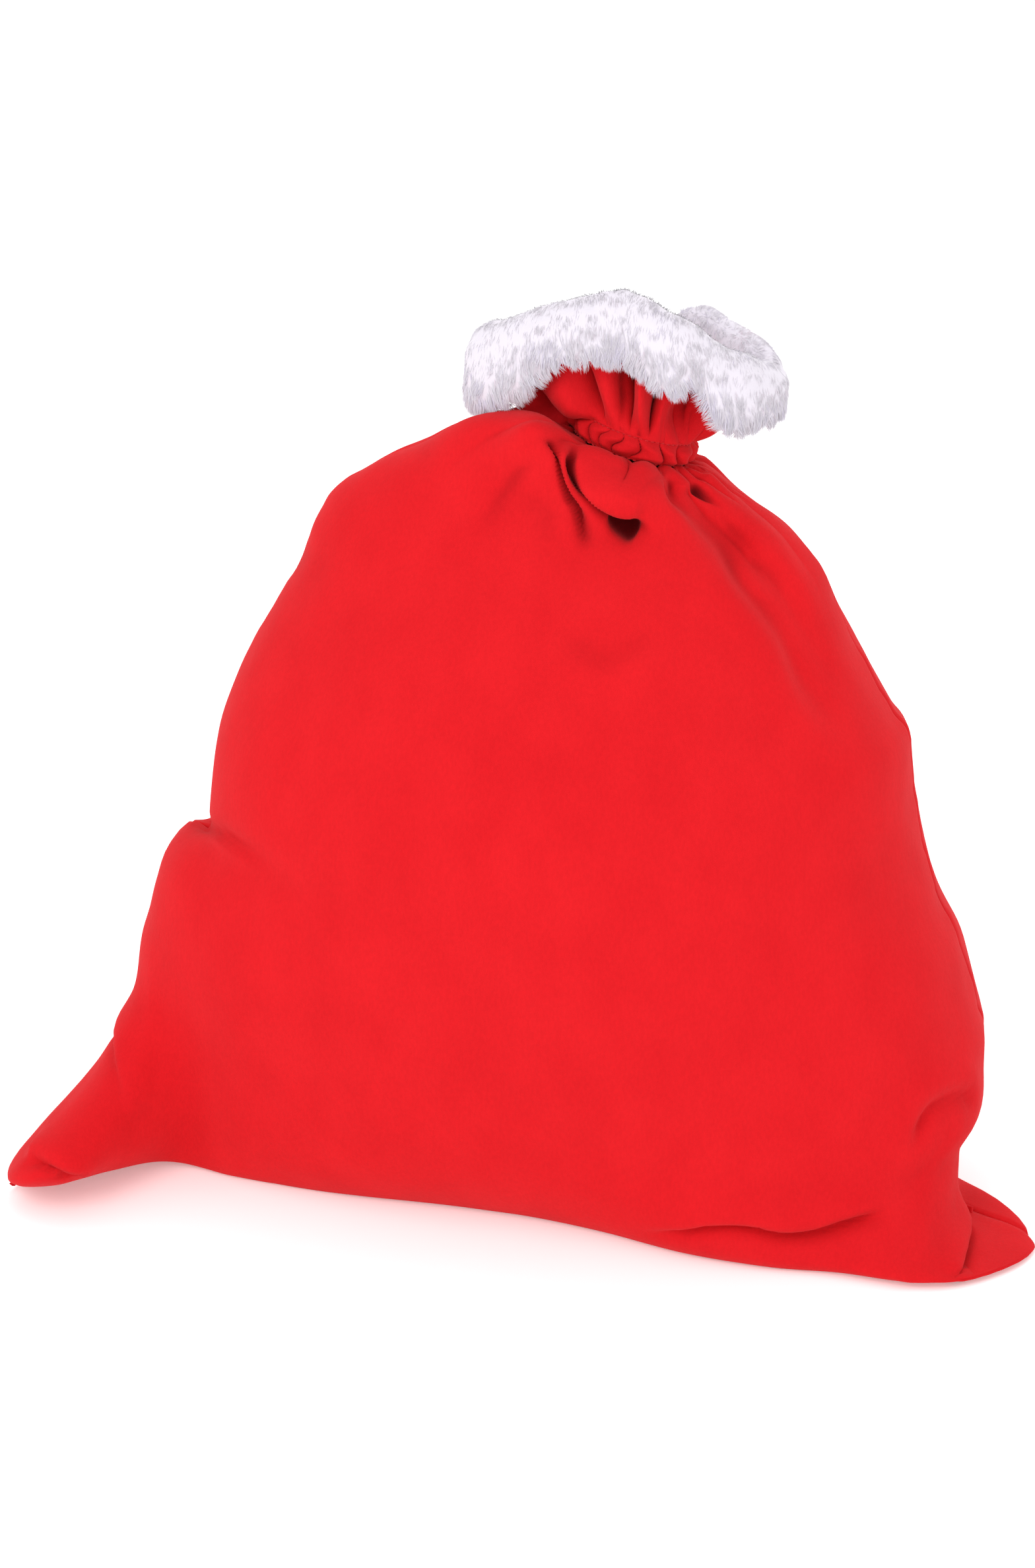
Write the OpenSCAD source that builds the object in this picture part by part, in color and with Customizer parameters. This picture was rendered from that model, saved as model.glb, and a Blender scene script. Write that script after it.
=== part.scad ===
// Fabric gift sack: a filled velour bag, gathered at the neck by a hidden elastic,
// with a red ruffle above the gathers and a white plush cuff folded over its rim.
// Millimetres, +Z up, front towards -Y, origin on the floor under the middle of the sack.

/* [Sack body] */
// Width of the filled body, without the two bottom corners that stick out
body_w = 620; // [580:10:660]
// Depth of the filled body, front to back
body_d = 320; // [300:10:340]
// Height of the neck's hinge, where the gathers meet the body
neck_z = 525; // [505:5:545]
// How far the neck stands to the right of the middle
neck_x = 70; // [60:5:80]
// Thickness of the velour
cloth_t = 2.5; // [1.5:0.5:3]

/* [Gathered neck] */
// Outer radius of the gathered band
neck_r = 42; // [40:1:44]
// Height of the gathered band
band_h = 21; // [18:1:24]
// How far the band leans to the right, in degrees
neck_lean = 16; // [8:1:18]
// Number of gathers round the band
gathers = 26; // [20:1:32]

/* [Cuff] */
// Drop of the plush cuff below the rim
cuff_drop = 48; // [44:2:52]
// Thickness of the plush
plush_t = 13; // [10:1:14]
// How far the plush is turned into the mouth
facing_w = 22; // [16:1:26]

/* [Hidden] */

velour = [0.90, 0.06, 0.09];
plush = [0.96, 0.95, 0.97];
notion = [0.93, 0.90, 0.88];
thread_red = [0.72, 0.05, 0.07];

FRONT = -1;
BACK = 1;
joint_gap = 0.6;       // between the neck and the body, over the whole nod
part_gap = 0.4;        // between pieces that lie against each other
rim_latitude = 20;     // where the body's top edge meets the ball of the neck
skirt_drop = 27;       // how far the gathered skirt reaches down inside the body
across = 32;           // steps across a panel
along = 3;             // steps from one station to the next
hinge_y = 44;          // the lips fold about lines this far before and behind the neck
thread_r = 0.7;

half_w = body_w / 2;
half_d = body_d / 2;
neck = [neck_x, 0, neck_z];

// ---- smooth curves -------------------------------------------------------------------------

// a Catmull-Rom curve through points p, at u from 0 to 1
function curve(p, u) =
    let (n = len(p) - 1, x = min(max(u, 0), 1) * n, i = min(floor(x), n - 1), f = x - i,
         a = p[max(i - 1, 0)], b = p[i], c = p[i + 1], d = p[min(i + 2, n)])
    0.5 * (2 * b + (c - a) * f + (2 * a - 5 * b + 4 * c - d) * f * f
        + (3 * b - a - 3 * c + d) * f * f * f);

// a point given in the leaning neck's own directions, seen from the floor's
function leaning(p) =
    let (c = cos(neck_lean), s = sin(neck_lean))
    neck + [p.x * c + p.z * s, p.y, p.z * c - p.x * s];

function sized(p) = [for (q = p) [q.x * half_w, q.y * half_d, q.z * neck_z]];

// ---- body: four rails from the bottom seam to the neck --------------------------------------

// stations go from the bottom seam, under the foot, up the wall and over the shoulder;
// fractions of half the width, half the depth and the neck's height
left_rail = [[-1.13, -0.78, 0.002], [-1.10, -0.58, 0.045], [-1.05, -0.36, 0.09], [-1.00, -0.12, 0.15],
    [-0.96, 0, 0.24], [-0.92, 0, 0.33], [-0.85, 0, 0.43], [-0.75, 0, 0.54], [-0.69, 0, 0.66],
    [-0.58, 0, 0.79], [-0.43, 0, 0.93], [-0.18, 0, 1.02]];
right_rail = [[1.17, -0.40, 0.002], [1.13, -0.30, 0.03], [1.07, -0.16, 0.06], [1.01, -0.05, 0.12],
    [1.03, 0, 0.21], [1.01, 0, 0.30], [0.93, 0, 0.41], [0.85, 0, 0.54], [0.80, 0, 0.66],
    [0.70, 0, 0.79], [0.56, 0, 0.90], [0.46, 0, 0.94]];
// inside, the first stations leave the pointed bottom corners solid
left_inside = [[-0.90, -0.16, 0.00], [-0.905, -0.16, 0.03], [-0.91, -0.10, 0.07], [-0.92, -0.04, 0.14]];
right_inside = [[0.92, -0.08, 0.00], [0.94, -0.08, 0.03], [0.96, -0.06, 0.06], [0.97, -0.03, 0.12]];
front_rail = [[0, 0.10, -0.006], [0, -0.40, -0.006], [0, -0.66, 0.008], [0, -0.80, 0.065],
    [0, -0.92, 0.17], [0.01, -0.99, 0.29], [0.02, -1.02, 0.41], [0.03, -0.99, 0.54],
    [0.06, -0.90, 0.66], [0.12, -0.73, 0.79], [0.18, -0.46, 0.91], [0.21, -0.34, 0.95]];
back_rail = [[0, 0.10, -0.006], [0, 0.48, -0.006], [0, 0.68, 0.008], [0, 0.82, 0.065],
    [0, 0.92, 0.17], [0.01, 0.97, 0.29], [0.02, 0.98, 0.41], [0.04, 0.95, 0.54],
    [0.08, 0.86, 0.66], [0.12, 0.70, 0.79], [0.18, 0.45, 0.91], [0.21, 0.33, 0.95]];
roundness = [1, 0.9, 0.82, 0.82, 0.86, 0.86, 0.86, 0.88, 0.9, 0.92, 0.96, 1, 1];
ridge = [6, 6, 5, 4, 3, 2, 2, 2, 2, 2, 1.5, 1, 1];

// the body's top edge lies on a ball about the hinge, so that the neck can nod inside it
function top_edge(side) =
    let (r = neck_r + joint_gap, reach = r * cos(rim_latitude) + cloth_t)
    leaning([side.x * reach, side.y * reach, -r * sin(rim_latitude)]);

function rail(points, side, inset) =
    [for (p = concat(sized(points), [top_edge(side)])) p - [side.x * inset, side.y * inset, 0]];

function rail_set(left, right, inset) = [
    rail(left, [-1, 0], inset), rail(right, [1, 0], inset),
    rail(front_rail, [0, -1], inset), rail(back_rail, [0, 1], inset)];

function with_start(start, points) = [for (i = [0 : len(points) - 1]) i < len(start) ? start[i] : points[i]];

OUTER = rail_set(left_rail, right_rail, 0);
INNER = rail_set(with_start(left_inside, left_rail), with_start(right_inside, right_rail), cloth_t);

// a point of the body: s runs from -1 at the left seam to 1 at the right one, u from the
// bottom seam to the neck, and nothing lies below the given floor
function wall(rails, face, s, u, floor_z) =
    let (edge = curve(rails[s < 0 ? 0 : 1], u), mid = curve(rails[face == FRONT ? 2 : 3], u),
         e = curve(roundness, u), k = curve(ridge, u),
         a = pow(abs(sin(90 * s)), e), b = pow(abs(cos(90 * s)), e))
    [mid.x + (edge.x - mid.x) * a, edge.y + (mid.y - edge.y) * b,
        max(floor_z, mid.z + (edge.z - mid.z) * pow(a, k))];

// ---- closed solids from grids ---------------------------------------------------------------

// a closed shell between two grids of the same size, rows of columns
module shell(outer, inner, flip) {
    rows = len(outer);
    cols = len(outer[0]);
    half = rows * cols;
    points = [for (g = [outer, inner]) for (row = g) for (p = row) p];
    function id(g, i, j) = g * half + i * cols + j;
    function quad(a, b, c, d) = [[a, b, c], [a, c, d]];
    skins = [for (i = [0 : rows - 2]) for (j = [0 : cols - 2]) for (t = concat(
        quad(id(0, i, j), id(0, i + 1, j), id(0, i + 1, j + 1), id(0, i, j + 1)),
        quad(id(1, i, j), id(1, i, j + 1), id(1, i + 1, j + 1), id(1, i + 1, j)))) t];
    ends = [for (i = [0 : rows - 2]) for (t = concat(
        quad(id(0, i, 0), id(1, i, 0), id(1, i + 1, 0), id(0, i + 1, 0)),
        quad(id(0, i, cols - 1), id(0, i + 1, cols - 1), id(1, i + 1, cols - 1), id(1, i, cols - 1)))) t];
    rims = [for (j = [0 : cols - 2]) for (t = concat(
        quad(id(0, 0, j), id(0, 0, j + 1), id(1, 0, j + 1), id(1, 0, j)),
        quad(id(0, rows - 1, j), id(1, rows - 1, j), id(1, rows - 1, j + 1), id(0, rows - 1, j + 1)))) t];
    faces = concat(skins, ends, rims);
    polyhedron(points, flip ? [for (f = faces) [f[2], f[1], f[0]]] : faces, convexity = 8);
}

function fan(m) = [for (j = [1 : m - 2]) [0, j, j + 1]];

// a closed solid swept through loops of the same length, its ends closed by cap's triangles
module sweep(loops, cap) {
    n = len(loops);
    m = len(loops[0]);
    last = (n - 1) * m;
    points = [for (l = loops) for (p = l) p];
    walls = [for (i = [0 : n - 2]) for (j = [0 : m - 1])
        let (a = i * m + j, b = i * m + (j + 1) % m) for (t = [[a, b, b + m], [a, b + m, a + m]]) t];
    start = [for (t = cap) [t[2], t[1], t[0]]];
    end = [for (t = cap) [last + t[0], last + t[1], last + t[2]]];
    polyhedron(points, concat(walls, start, end), convexity = 8);
}

// ---- sack body ------------------------------------------------------------------------------

module panel(face) {
    stations = len(left_rail) * along;
    function grid(rails, floor_z) = [for (i = [0 : stations]) [for (j = [-across / 2 : across / 2])
        wall(rails, face, 2 * j / across, i / stations, floor_z)]];
    shell(grid(OUTER, 0), grid(INNER, cloth_t), face == BACK);
}

module front_panel() {
    color(velour) panel(FRONT);
}

module back_panel() {
    color(velour) panel(BACK);
}

allowance_w = 9;       // how far a seam allowance stands into the sack
allowance_t = 3;       // two thicknesses of cloth, pressed together
seam_gap = 1.4;        // from the allowance to the two cloths
seam_start = 0.36;     // above the bottom corners
seam_end = 0.74;       // below the shoulder

module side_allowance(index, inward) {
    steps = 30;
    sweep([for (i = [0 : steps])
        let (p = curve(INNER[index], seam_start + (seam_end - seam_start) * i / steps))
        [for (c = [[seam_gap, 1], [allowance_w, 1], [allowance_w, -1], [seam_gap, -1]])
            p + [inward * c[0], inward * c[1] * allowance_t / 2, 0]]], fan(4));
}

module left_seam_allowance() {
    color(velour) side_allowance(0, 1);
}

module right_seam_allowance() {
    color(velour) side_allowance(1, -1);
}

module bottom_seam_allowance() {
    steps = 24;
    reach = 0.6;       // stops short of the corners
    color(velour) sweep([for (i = [0 : steps])
        let (p = wall(INNER, FRONT, reach * (2 * i / steps - 1), 0, cloth_t))
        [for (c = [[-1, part_gap], [-1, allowance_w], [1, allowance_w], [1, part_gap]])
            p + [0, c[0] * allowance_t / 2, c[1]]]], fan(4));
}

// ---- gathered neck --------------------------------------------------------------------------

tape_t = 2;
elastic_t = 1.6;
elastic_w = 14;
pleat_depth = 1.2;
tape_r = 31;
elastic_r = tape_r + tape_t + part_gap;
cloth_r = elastic_r + elastic_t + part_gap;
thread_ring_r = neck_r + pleat_depth + thread_r + part_gap / 2;
row_inset = 3;         // from a stitch row to the edge of the band

module lean() {
    translate(neck) rotate([0, neck_lean, 0]) children();
}

module half_space(face) {
    size = 4 * neck_r;
    translate([-size / 2, face == FRONT ? -size - part_gap / 2 : part_gap / 2, -size / 2]) cube(size);
}

// the gathered velour: a pleated band, with the skirt of cloth that leads down into the body
module casing(face) {
    steps = gathers * 6;
    lean() intersection() {
        half_space(face);
        union() {
            linear_extrude(height = band_h) difference() {
                polygon([for (i = [0 : steps - 1]) let (a = 360 * i / steps, r = neck_r
                    + pleat_depth * (cos(gathers * a) - 1) / 2) [r * cos(a), r * sin(a)]]);
                circle(r = cloth_r, $fn = 96);
            }
            intersection() {
                difference() {
                    sphere(r = neck_r, $fn = 96);
                    sphere(r = neck_r - tape_t - 1, $fn = 96);
                }
                translate([0, 0, -skirt_drop]) cylinder(r = 2 * neck_r, h = skirt_drop, $fn = 96);
            }
        }
    }
}

module casing_front() {
    color(velour) casing(FRONT);
}

module casing_back() {
    color(velour) casing(BACK);
}

module ring(inner_r, thickness, low, height) {
    lean() translate([0, 0, low]) difference() {
        cylinder(r = inner_r + thickness, h = height, $fn = 96);
        translate([0, 0, -1]) cylinder(r = inner_r, h = height + 2, $fn = 96);
    }
}

module channel_tape() {
    color(velour) ring(tape_r, tape_t, 1, band_h - 2);
}

module elastic_band() {
    color(notion) ring(elastic_r, elastic_t, (band_h - elastic_w) / 2, elastic_w);
}

module stitch_row(height) {
    color(thread_red) lean() translate([0, 0, height]) rotate_extrude($fn = 96)
        translate([thread_ring_r, 0]) circle(r = thread_r, $fn = 16);
}

module upper_stitch_row() {
    stitch_row(band_h - row_inset);
}

module lower_stitch_row() {
    stitch_row(row_inset);
}

// ---- lips: ruffle and cuff, one half in front and one behind --------------------------------

// the rim from its left end to its right one, measured from the hinge of the neck
front_rim = [[-106, 0, 69], [-84, -34, 82], [-40, -48, 100], [2, -40, 106], [46, -48, 94],
    [80, -34, 76], [98, 0, 63]];
back_rim = [[-106, 0, 69], [-84, 32, 76], [-38, 46, 86], [4, 42, 90], [44, 48, 88],
    [78, 34, 74], [98, 0, 63]];
parting_z = 560;       // below this height the two lips stand further apart
parting = 0.15;        // so that they clear each other while they fold out
lip_steps = 28;
ruffle_rows = 5;
ruffle_bow = 7;        // how far the ruffle swells outwards between the band and the rim

function parted(p, face) =
    p + [0, face * (part_gap + parting * max(0, parting_z - p.z)), 0];

function rim_at(face, s) = neck + curve(face == FRONT ? front_rim : back_rim, (s + 1) / 2);

function band_top(face, s, r) =
    leaning([r * sin(90 * s), face * r * cos(90 * s), band_h + 2 * part_gap]);

// level with the floor, square to the rim in its middle and away from the band at its ends
function outward(face, s) =
    let (step = 0.02, along = rim_at(face, s + step) - rim_at(face, s - step),
         square = -face * [along.y, -along.x],
         d = rim_at(face, s) - band_top(face, s, neck_r - cloth_t), away = [d.x, d.y], share = pow(s, 4),
         o = square / norm(square) * (1 - share) + away / norm(away) * share) [o.x, o.y, 0] / norm(o);

// the ruffle's outer skin at s across and v up from the band, moved in by the given thickness
function ruffle_skin(face, s, v, inset) =
    let (a = band_top(face, s, neck_r - inset), b = rim_at(face, s),
         o = [sin(90 * s), face * cos(90 * s), 0])
    parted(a + (b - a) * v + [0, 0, -ruffle_bow * sin(180 * v)] - o * inset * v, face);

module ruffle(face) {
    function grid(inset) = [for (i = [0 : ruffle_rows]) [for (j = [-lip_steps / 2 : lip_steps / 2])
        ruffle_skin(face, 2 * j / lip_steps, i / ruffle_rows, inset)]];
    shell(grid(0), grid(cloth_t), face == BACK);
}

module ruffle_front() {
    color(velour) ruffle(FRONT);
}

module ruffle_back() {
    color(velour) ruffle(BACK);
}

// one slice of the cuff: it hangs outside the rim and turns a short way into the mouth,
// with a slot for the ruffle's edge; points are [outwards, up]
function cuff_slice(face, s) =
    let (rim = rim_at(face, s), foot = band_top(face, s, neck_r - cloth_t), o = outward(face, s),
         run = (rim - foot) * o, rise = rim.z - foot.z, down = -[run, rise] / norm([run, rise]),
         in = [down[1], -down[0]], slot = cloth_t + 4 * part_gap, pile = plush_t / 2 + slot)
    [for (q = [[plush_t + 3, -cuff_drop], [plush_t + 5, -cuff_drop / 2], [plush_t, -4], [5, 8],
        in * pile + [0, 1], in * pile + down * facing_w, in * slot + down * facing_w, in * slot,
        [1.2, 1], [4, -cuff_drop + 2]])
        parted(rim + o * q[0] + [0, 0, q[1]], face)];

module cuff(face) {
    order = face == FRONT ? [0 : lip_steps] : [lip_steps : -1 : 0];
    // strips from the hanging edge, points 0 and 9, over the rim to the turned-in one, 5 and 6
    cap = [[0, 1, 9], [1, 8, 9], [1, 2, 8], [2, 3, 8], [3, 4, 8], [4, 7, 8], [4, 5, 7], [5, 6, 7]];
    sweep([for (i = order) cuff_slice(face, 2 * i / lip_steps - 1)], cap);
}

module front_cuff() {
    color(plush) cuff(FRONT);
}

module back_cuff() {
    color(plush) cuff(BACK);
}

// the thread that sews the cuff's turned-in edge to the ruffle
module cuff_stitching(face) {
    reach = 0.9;       // stops short of the sides
    sides = 6;
    function centre(s) =
        let (c = cuff_slice(face, s), down = (c[6] - c[7]) / norm(c[6] - c[7]))
        (c[5] + c[6]) / 2 + down * (thread_r + part_gap);
    color(thread_red) sweep([for (i = [0 : lip_steps])
        let (s = reach * (2 * i / lip_steps - 1), c = centre(s), o = outward(face, s))
        [for (k = [0 : sides - 1]) c + o * thread_r * cos(360 * k / sides)
            + [0, 0, -face * thread_r * sin(360 * k / sides)]]], fan(sides));
}

module front_cuff_stitching() {
    cuff_stitching(FRONT);
}

module back_cuff_stitching() {
    cuff_stitching(BACK);
}

front_panel();
back_panel();
left_seam_allowance();
right_seam_allowance();
bottom_seam_allowance();
casing_front();
casing_back();
channel_tape();
elastic_band();
upper_stitch_row();
lower_stitch_row();
ruffle_front();
front_cuff();
front_cuff_stitching();
ruffle_back();
back_cuff();
back_cuff_stitching();
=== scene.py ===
"""Looks of the fabric gift sack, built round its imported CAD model.

Lengths here are millimetres and angles degrees; mesh() turns them into metres. The neck's ring
angle runs from -90 at the left side seam, through 0 in front and 90 at the right side seam,
to 270 at the left seam again.
"""

import bpy
import numpy as np
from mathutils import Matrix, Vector


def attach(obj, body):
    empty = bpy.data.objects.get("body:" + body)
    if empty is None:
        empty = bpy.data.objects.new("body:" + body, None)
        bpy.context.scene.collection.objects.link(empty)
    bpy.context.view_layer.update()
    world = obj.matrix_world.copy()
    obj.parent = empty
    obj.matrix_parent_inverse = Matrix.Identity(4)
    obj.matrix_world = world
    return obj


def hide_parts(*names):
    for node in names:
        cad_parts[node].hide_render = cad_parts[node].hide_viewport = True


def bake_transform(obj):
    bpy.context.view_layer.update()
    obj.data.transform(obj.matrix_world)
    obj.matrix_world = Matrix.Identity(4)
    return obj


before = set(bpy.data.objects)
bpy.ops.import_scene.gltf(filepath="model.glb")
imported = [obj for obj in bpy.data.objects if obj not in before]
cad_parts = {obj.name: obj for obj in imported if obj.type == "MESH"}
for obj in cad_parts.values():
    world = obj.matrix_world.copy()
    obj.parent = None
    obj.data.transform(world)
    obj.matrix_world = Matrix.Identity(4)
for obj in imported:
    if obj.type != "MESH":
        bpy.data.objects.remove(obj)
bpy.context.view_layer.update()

MM = 0.001
LEFT_SEAM, RIGHT_SEAM = -90.0, 90.0

# ---- numbers ------------------------------------------------------------------------------


def ramp(x, start, end):
    t = np.clip((np.asarray(x, float) - start) / (end - start), 0, 1)
    return t * t * (3 - 2 * t)


def bell(x, middle, width):
    return np.exp(-(((x - middle) / width) ** 2))


def unit(v):
    return v / np.maximum(np.linalg.norm(v, axis=-1, keepdims=True), 1e-9)


def spline(knots, at):
    """A smooth curve through rows of (position, values...), read at the given positions."""
    knots = np.asarray(knots, float)
    x, y = knots[:, 0], knots[:, 1:]
    h = np.diff(x)[:, None]
    d = np.diff(y, axis=0) / h
    m = np.concatenate([d[:1], (d[:-1] * h[1:] + d[1:] * h[:-1]) / (h[1:] + h[:-1]), d[-1:]])
    at = np.asarray(at, float)
    i = np.clip(np.searchsorted(x, at, side="right") - 1, 0, len(x) - 2)
    t = np.clip((at - x[i]) / h[i, 0], 0, 1)[..., None]
    a, b, k = y[i], y[i + 1], h[i]
    return ((2 * t**3 - 3 * t**2 + 1) * a + (t**3 - 2 * t**2 + t) * k * m[i]
            + (3 * t**2 - 2 * t**3) * b + (t**3 - t**2) * k * m[i + 1])


class Noise:
    """Smooth seeded noise from -1 to 1 at points of three coordinates."""

    def __init__(self, seed):
        self.table = np.random.default_rng(seed).uniform(-1, 1, (32, 32, 32))

    def __call__(self, p):
        p = np.asarray(p, float)
        cell = np.floor(p).astype(int)
        f = p - cell
        f = f * f * (3 - 2 * f)
        total = 0
        for corner in np.ndindex(2, 2, 2):
            weight = np.prod(np.where(np.array(corner) == 1, f, 1 - f), axis=-1)
            i = (cell + np.array(corner)) % 32
            total = total + weight * self.table[i[..., 0], i[..., 1], i[..., 2]]
        return total


class Folds:
    """Irregular folds round the neck: rounded crests of 1 between sharp valleys of 0."""

    def __init__(self, count, seed, wander=0.5, sharp=0.6):
        rng = np.random.default_rng(seed)
        self.count, self.sharp = count, sharp
        self.waves = rng.uniform(-1, 1, 6) * wander / np.arange(1, 7)
        self.phases = rng.uniform(0, 2 * np.pi, 6)
        self.heights = rng.uniform(0.55, 1.15, count)

    def __call__(self, angle):
        turn = np.radians(np.asarray(angle, float))
        place = turn / (2 * np.pi) * self.count
        for k, (wave, phase) in enumerate(zip(self.waves, self.phases)):
            place = place + wave * np.sin((k + 2) * turn + phase)
        which = np.floor(place).astype(int) % self.count
        return self.heights[which] * np.sin(np.pi * (place % 1.0)) ** self.sharp


def normals(grid):
    """Outward normals of a grid of rows from the bottom up and columns round the ring."""
    across = np.roll(grid, -1, axis=1) - np.roll(grid, 1, axis=1)
    up = np.gradient(grid, axis=0)
    return unit(np.cross(across, up))


def evened(field, times):
    for _ in range(times):
        side = (np.roll(field, 1, axis=1) + np.roll(field, -1, axis=1)) / 2
        field = (field + side) / 2
        field[1:-1] = (field[1:-1] * 2 + field[:-2] + field[2:]) / 4
    return field


# ---- the neck ------------------------------------------------------------------------------

NECK = np.array([66.0, 0.0, 525.0])
LEAN = np.radians(16.0)
BAND_R = 42.0          # the gathered band's outer radius
LOWER_ROW, UPPER_ROW = 3.0, 18.0
TAPE_SIDE_R = 35.7     # the band's inner side, just clear of the elastic
EDGE_R = 40.2          # where the body's cloth reaches the lower stitch row
CLOTH = 1.7            # the velour's thickness

gathers = Folds(21, 5, wander=0.7, sharp=0.6)            # the puckers of the gathered band
folds_near = Folds(15, 11, wander=0.9, sharp=0.75)       # the folds that leave it
folds_far = Folds(8, 23, wander=0.8, sharp=1.0)          # the broader ones further down


def leaning(angle, radius, height):
    """A point of the neck, given by its ring angle, radius and height along the lean."""
    turn = np.radians(np.asarray(angle, float))
    radius = np.asarray(radius, float)
    x, y = radius * np.sin(turn), -radius * np.cos(turn)
    z = np.zeros_like(x) + height
    c, s = np.cos(LEAN), np.sin(LEAN)
    return NECK + np.stack([x * c + z * s, y + 0 * x, z * c - x * s], axis=-1)


def ring_radius(angle, height):
    """The gathered cloth's outer radius at a height along the neck: puckered all the way up,
    fullest between the two stitch rows, and drawn in at each row."""
    sway = 4.2 * np.sin(height / 3.1 + np.radians(angle) * 4) * ramp(height, -12, 0)
    pleats = gathers(angle + sway)
    rows = bell(height, LOWER_ROW, 2.3) + bell(height, UPPER_ROW, 2.3)
    between = ramp(height, LOWER_ROW, LOWER_ROW + 5) * (1 - ramp(height, UPPER_ROW - 5, UPPER_ROW))
    return (BAND_R - 0.4 + (0.2 + 3.4 * pleats) * between
            + (1.0 + 0.5 * between) * (2.3 * pleats - 1.8) - 1.8 * rows * (0.6 + 0.6 * pleats))


# ---- the filled body -----------------------------------------------------------------------

ring_left, ring_right = (leaning(seam, EDGE_R, LOWER_ROW) for seam in (LEFT_SEAM, RIGHT_SEAM))
ring_front, ring_back = leaning(0, EDGE_R, LOWER_ROW), leaning(180, EDGE_R, LOWER_ROW)

# stations run from the bottom seam (0), under the foot, up the wall and over the shoulder to
# the neck (12); each row gives x, y and z
LEFT = [
    (0, -348, -135, 4), (1, -340, -99, 26), (2, -320, -54, 50), (2.6, -306, -24, 66),
    (3.1, -295, -8, 82), (4, -280, 0, 124), (5, -275, 0, 174), (5.6, -262, 0, 205),
    (6, -248, 0, 226), (6.2, -236, 0, 237), (6.35, -226, 0, 246), (6.6, -225, 0, 264),
    (7, -222, 0, 296), (8, -211, 0, 347), (8.6, -194, 0, 386), (9, -177, 0, 418),
    (9.5, -160, 0, 448), (9.8, -152, 0, 470), (10.1, -138, -2, 492), (10.5, -110, -6, 512),
    (11, -70, -12, 527), (11.35, -36, -16, 541), (11.65, -8, -14, 550), (11.85, 13, -8, 544),
    (12, *ring_left)]
RIGHT = [
    (0, 360, -76, 1), (0.5, 359, -60, 3), (1, 347, -48, 5), (1.5, 329, -40, 6), (2, 312, -32, 9),
    (2.6, 300, -18, 24), (3, 299, -10, 48), (3.35, 303, -6, 64), (3.65, 317, -3, 84),
    (4, 322, 0, 112), (5, 317, 0, 156), (5.5, 304, 0, 192), (6, 285, 0, 225),
    (6.6, 271, 0, 262), (7, 263, 0, 296), (7.4, 259, 0, 332), (8, 246, 0, 354),
    (8.5, 228, 0, 386), (9, 212, 0, 416), (9.6, 195, 0, 450), (10, 176, 0, 472),
    (10.5, 152, 0, 490), (11, 133, 0, 502), (11.5, 117, 0, 511), (11.8, 110, 0, 515),
    (12, *ring_right)]
FRONT = [
    (0, 0, 16, -3), (1, 0, -64, -3), (2, 0, -100, 2), (2.4, 0, -112, 12), (3, 0, -128, 34),
    (4, 0, -147, 89), (5, 3, -158, 152), (6, 6, -161, 215), (7, 9, -158, 283),
    (8, 19, -144, 347), (9, 37, -121, 415), (10, 54, -92, 468), (10.6, 62, -76, 492),
    (11.1, 67, -66, 510), (11.5, 70, -60, 522), (11.8, 71, -52, 529), (12, *ring_front)]
BACK = [
    (0, 0, 16, -3), (1, 0, 77, -3), (2, 0, 106, 2), (2.4, 0, 116, 14), (3, 0, 131, 36),
    (4, 0, 147, 89), (5, 3, 155, 152), (6, 6, 157, 215), (7, 12, 152, 283),
    (8, 25, 138, 347), (9, 37, 112, 415), (10, 54, 82, 470), (10.6, 62, 68, 493),
    (11.1, 67, 60, 510), (11.5, 70, 55, 521), (11.8, 71, 48, 528), (12, *ring_back)]
# how square the section is, and how sharply the side seams stand up at the bottom corners
SECTION = [
    (0, 1.0, 6), (1, 0.9, 6), (2, 0.82, 5), (3, 0.82, 4), (4, 0.86, 3), (5, 0.86, 2),
    (7, 0.88, 2), (9, 0.92, 2), (10, 0.96, 1.6), (11, 1, 1.1), (12, 1, 1)]
# how far the foot of the front stands from its even oval: across, x and y
FOOT = [
    (-1, 0, 0), (-0.97, -7, -46), (-0.92, -4, -88), (-0.86, 4, -106), (-0.78, 16, -94),
    (-0.68, 21, -44), (-0.57, 16, 0), (-0.4, 11, 4), (-0.2, 6, 3), (0, 0, 0), (0.1, -4, -13),
    (0.25, -10, -39), (0.4, -13, -55), (0.55, -14, -65), (0.7, -12, -84), (0.8, -10, -95),
    (0.87, 4, -93), (0.93, 15, -68), (0.97, 14, -36), (1, 0, 0)]
FOOT_SHARE = [(0, 0.1), (1, 0.75), (2.2, 1), (3, 0.72), (4, 0.3), (5, 0.06), (6, 0)]

ACROSS = 240           # steps across each cloth, the same from the bottom seam to the rim
ROWS = ((0, 2, 12), (2, 4, 32), (4, 9.5, 78), (9.5, 12, 77))    # from and to a station, and rows
TOP = 12               # the last station, at the neck's ring


def across_steps():
    """Positions across a cloth from -1 to 1, closer together beside the seams."""
    t = np.linspace(-1, 1, ACROSS + 1)
    return 0.66 * t + 0.34 * np.sin(np.pi / 2 * t)


S = across_steps()
RING = np.concatenate([90 * S[:-1], 180 - 90 * S[::-1][:-1]])
IS_FRONT = np.arange(2 * ACROSS) < ACROSS


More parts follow.
